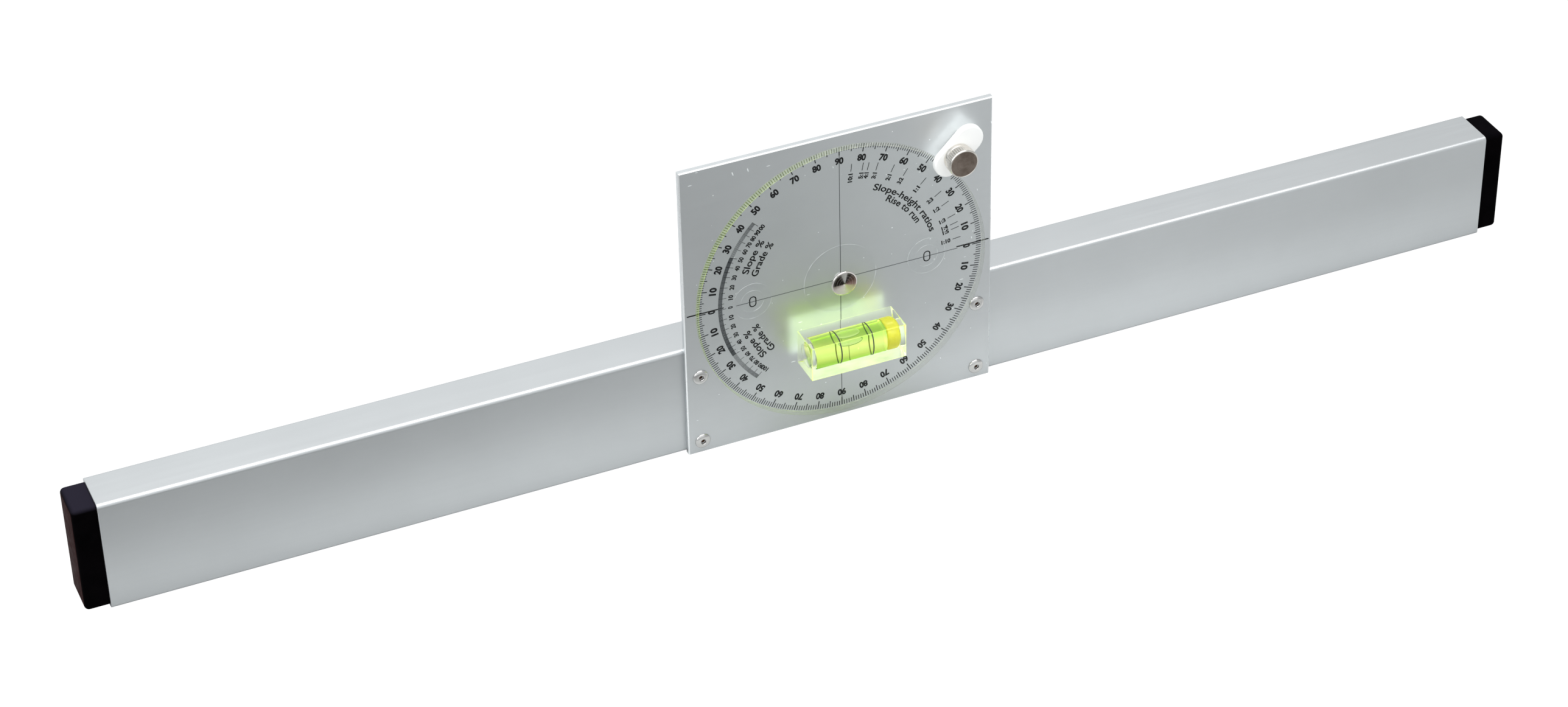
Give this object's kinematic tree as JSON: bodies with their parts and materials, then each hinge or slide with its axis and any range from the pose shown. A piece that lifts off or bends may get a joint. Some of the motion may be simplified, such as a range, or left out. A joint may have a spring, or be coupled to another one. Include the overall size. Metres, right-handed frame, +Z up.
{
  "type": "dial slope gauge",
  "caption": "Aluminium level bar with a square plate carrying a clear turning degree, percent and ratio dial, a block vial and a screw clamp that locks the dial.",
  "frame": {"origin": "centre of the bar's lower resting face", "axes": "+X along the bar, -Y towards the reader of the dial, +Z up"},
  "size_m": [0.609, 0.0406, 0.13],
  "materials": {
    "anodised_tube": "satin, finely drawn along its length",
    "anodised_plate": "satin, slightly mirror-like",
    "black_plastic": "moulded, low sheen",
    "rivet_alloy": "bright formed alloy",
    "mandrel_steel": "snapped steel, dull brown",
    "clear_acrylic": "clear, polished, printed on the back",
    "vial_acrylic": "clear, polished",
    "vial_liquid": "clear yellow-green liquid",
    "vial_bubble": "air",
    "yellow_plug": "translucent yellow",
    "ring_black": "black",
    "nickel": "nickel plated, turned",
    "zinc_steel": "zinc plated",
    "clear_washer": "clear film",
    "white_nylon": "white, slightly translucent"
  },
  "bodies": {
    "bar": {"beam_tube": "anodised_tube", "end_cap_left": "black_plastic", "end_cap_right": "black_plastic", "dial_plate": "anodised_plate", "rivet_1": "rivet_alloy", "rivet_2": "rivet_alloy", "rivet_3": "rivet_alloy", "rivet_4": "rivet_alloy", "rivet_mandrel_1": "mandrel_steel", "rivet_mandrel_2": "mandrel_steel", "rivet_mandrel_3": "mandrel_steel", "rivet_mandrel_4": "mandrel_steel", "friction_washer": "clear_washer", "glide_pad_left": "clear_washer", "glide_pad_right": "clear_washer", "pivot_screw": "nickel", "pivot_washer": "zinc_steel", "pivot_spring_washer": "zinc_steel", "pivot_lock_nut": "zinc_steel", "clamp_nut": "zinc_steel"},
    "dial": {"dial_disc": "clear_acrylic", "vial_block": "vial_acrylic", "vial_liquid": "vial_liquid", "vial_bubble": "vial_bubble", "vial_ring_left": "ring_black", "vial_ring_right": "ring_black", "vial_plug": "yellow_plug"},
    "finger": {"clamp_finger": "white_nylon"},
    "knob": {"clamp_knob": "nickel"}
  },
  "joints": [
    {"name": "dial_turn", "type": "hinge", "parent": "bar", "child": "dial", "pos_m": [0, -0.015, 0.065], "axis": [0, -1, 0], "continuous": true},
    {"name": "finger_lift", "type": "slide", "parent": "bar", "child": "finger", "axis": [0, -1, 0], "range_m": [0, 0.0014]},
    {"name": "knob_turn", "type": "hinge", "parent": "finger", "child": "knob", "pos_m": [0.04674, -0.0194, 0.11174], "axis": [0, -1, 0], "range_deg": [0, 720]}
  ],
  "couplings": [
    {"joint": "knob_turn", "follows": "finger_lift", "rad_per_m": 8976}
  ]
}
